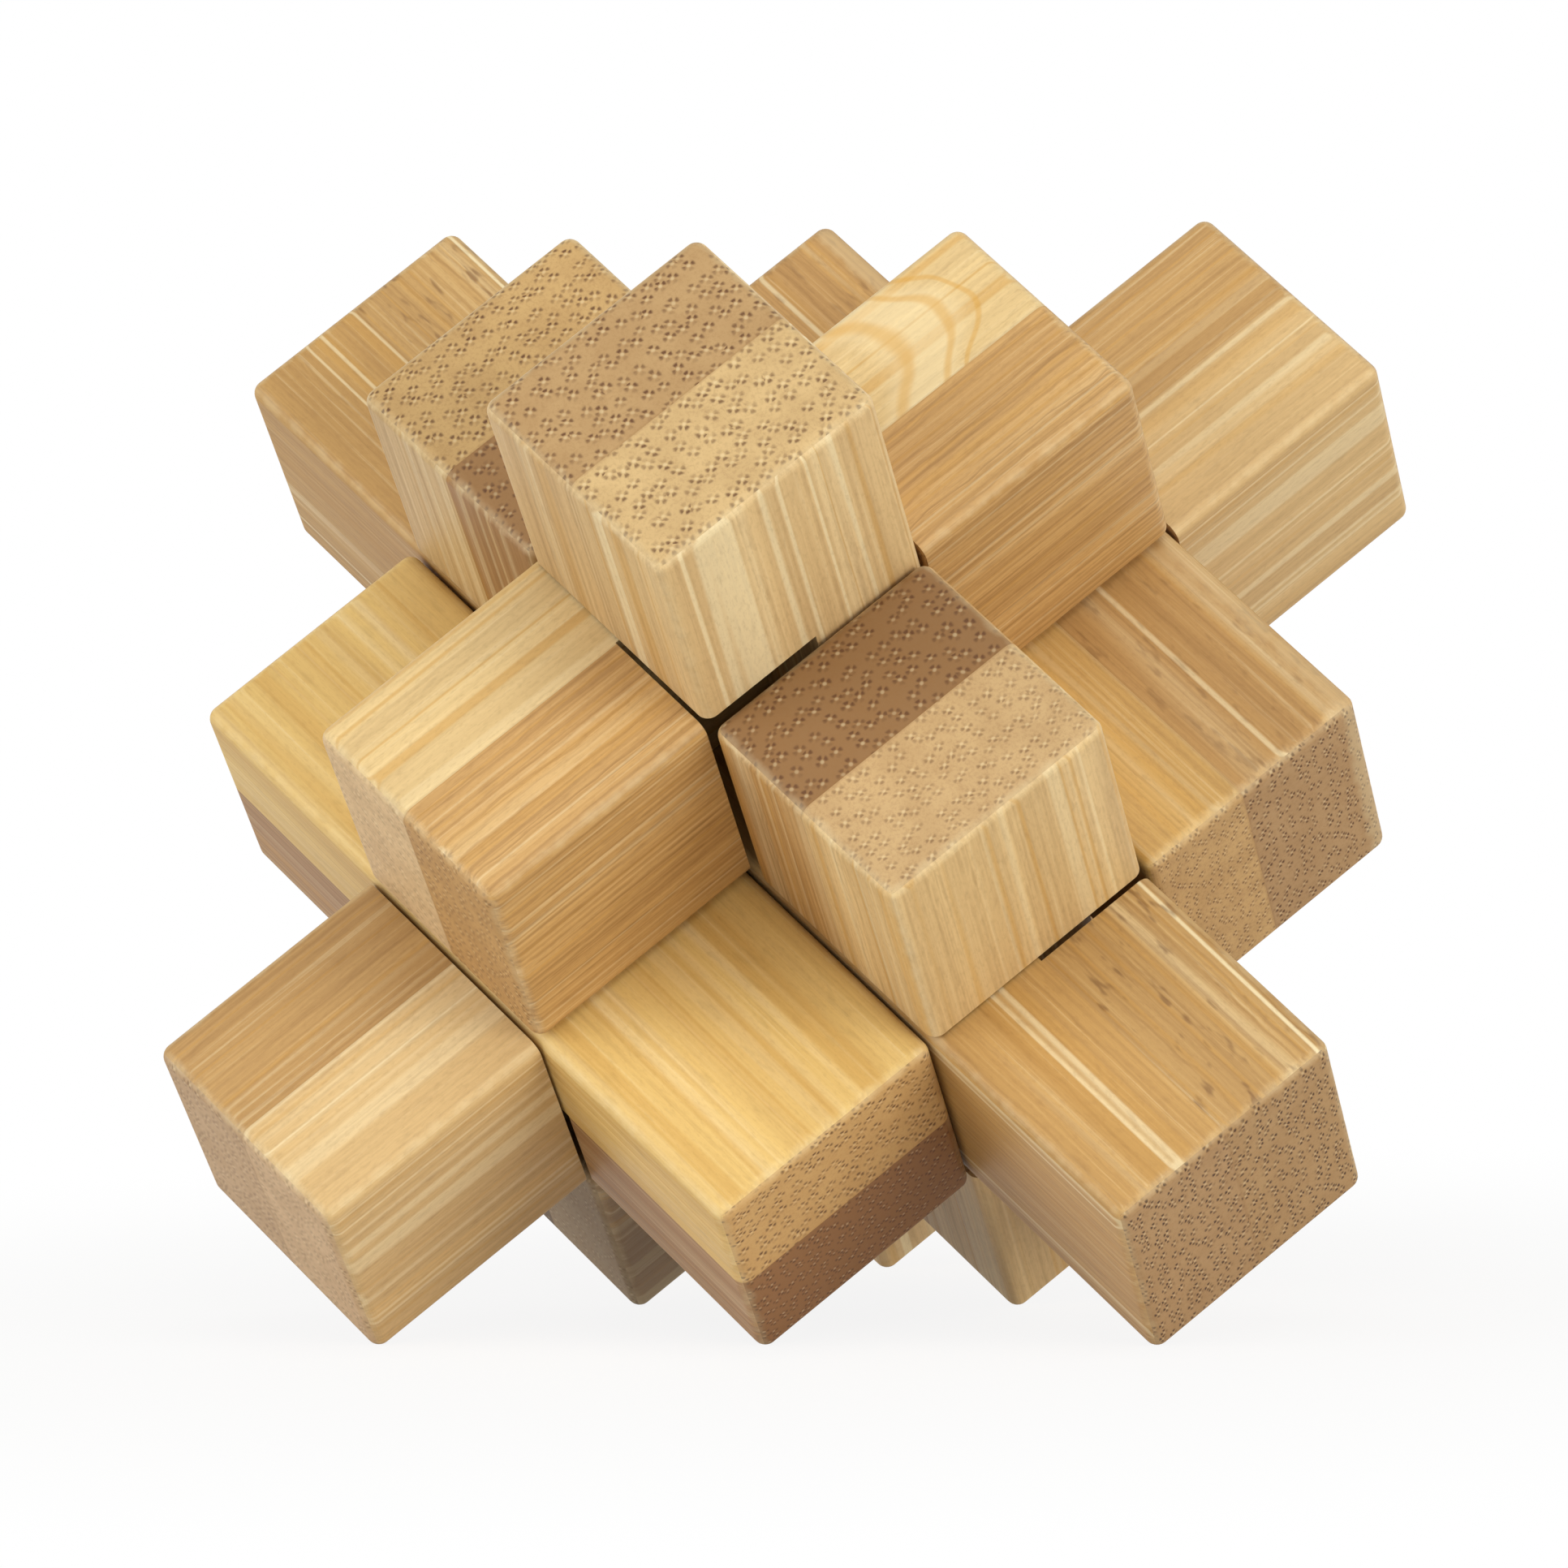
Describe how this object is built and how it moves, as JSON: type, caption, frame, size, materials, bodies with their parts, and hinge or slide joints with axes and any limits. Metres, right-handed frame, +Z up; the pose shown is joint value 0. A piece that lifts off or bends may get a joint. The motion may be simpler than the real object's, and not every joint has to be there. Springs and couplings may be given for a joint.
{
  "type": "wooden burr puzzle",
  "caption": "Interlocking burr puzzle of square laminated bamboo bars: long bars cross at the centre, short bars lie beside them, and sliding the key bar half a width unlocks it.",
  "frame": {"origin": "on the surface that the puzzle stands on, straight below the centre where the long bars cross", "axes": "+Z up along the space diagonal of the crossing bars, as the puzzle stands on the lowest corners of its bars; the front, -Y, is the side that the back long bar's upper end leans towards; the key bar's foot is at the front right and the left long bar's foot at the front left"},
  "size_m": [0.0626, 0.0722, 0.0592],
  "materials": {
    "key_bar_pale": "sanded bamboo, unvarnished, satin",
    "key_bar_dark": "sanded bamboo, unvarnished, satin",
    "key_upper_bar_pale": "sanded bamboo, unvarnished, satin",
    "key_upper_bar_dark": "sanded bamboo, unvarnished, satin",
    "key_lower_bar_pale": "sanded bamboo, unvarnished, satin",
    "key_lower_bar_dark": "sanded bamboo, unvarnished, satin",
    "left_long_bar_pale": "sanded bamboo, unvarnished, satin",
    "left_long_bar_dark": "sanded bamboo, unvarnished, satin",
    "left_upper_bar_pale": "sanded bamboo, unvarnished, satin",
    "left_upper_bar_dark": "sanded bamboo, unvarnished, satin",
    "left_lower_bar_pale": "sanded bamboo, unvarnished, satin",
    "left_lower_bar_dark": "sanded bamboo, unvarnished, satin",
    "back_long_bar_pale": "sanded bamboo, unvarnished, satin",
    "back_long_bar_dark": "sanded bamboo, unvarnished, satin",
    "back_upper_bar_pale": "sanded bamboo, unvarnished, satin",
    "back_upper_bar_dark": "sanded bamboo, unvarnished, satin",
    "back_lower_bar_pale": "sanded bamboo, unvarnished, satin",
    "back_lower_bar_dark": "sanded bamboo, unvarnished, satin"
  },
  "bodies": {
    "fixed_bars": {"left_long_bar_pale_strip": "left_long_bar_pale", "left_long_bar_dark_strip": "left_long_bar_dark", "back_long_bar_pale_strip": "back_long_bar_pale", "back_long_bar_dark_strip": "back_long_bar_dark", "back_lower_bar_pale_strip": "back_lower_bar_pale", "back_lower_bar_dark_strip": "back_lower_bar_dark"},
    "key_bar": {"key_bar_pale_strip": "key_bar_pale", "key_bar_dark_strip": "key_bar_dark"},
    "key_upper_bar": {"key_upper_bar_pale_strip": "key_upper_bar_pale", "key_upper_bar_dark_strip": "key_upper_bar_dark"},
    "key_lower_bar": {"key_lower_bar_pale_strip": "key_lower_bar_pale", "key_lower_bar_dark_strip": "key_lower_bar_dark"},
    "left_upper_bar": {"left_upper_bar_pale_strip": "left_upper_bar_pale", "left_upper_bar_dark_strip": "left_upper_bar_dark"},
    "left_lower_bar": {"left_lower_bar_pale_strip": "left_lower_bar_pale", "left_lower_bar_dark_strip": "left_lower_bar_dark"},
    "back_upper_bar": {"back_upper_bar_pale_strip": "back_upper_bar_pale", "back_upper_bar_dark_strip": "back_upper_bar_dark"}
  },
  "joints": [
    {"name": "key_slide", "type": "slide", "parent": "fixed_bars", "child": "key_bar", "axis": [-0.7071, 0.4082, 0.5774], "range_m": [0, 0.0075]},
    {"name": "key_upper_slide", "type": "slide", "parent": "fixed_bars", "child": "key_upper_bar", "axis": [-0.7071, 0.4082, 0.5774], "range_m": [0, 0.0075]},
    {"name": "key_lower_slide", "type": "slide", "parent": "fixed_bars", "child": "key_lower_bar", "axis": [-0.7071, 0.4082, 0.5774], "range_m": [0, 0.0075]},
    {"name": "left_upper_slide", "type": "slide", "parent": "fixed_bars", "child": "left_upper_bar", "axis": [0.7071, 0.4082, 0.5774], "range_m": [0, 0.0075]},
    {"name": "left_lower_slide", "type": "slide", "parent": "fixed_bars", "child": "left_lower_bar", "axis": [0.7071, 0.4082, 0.5774], "range_m": [0, 0.0075]},
    {"name": "back_upper_slide", "type": "slide", "parent": "fixed_bars", "child": "back_upper_bar", "axis": [0, -0.8165, 0.5774], "range_m": [0, 0.0075]}
  ]
}
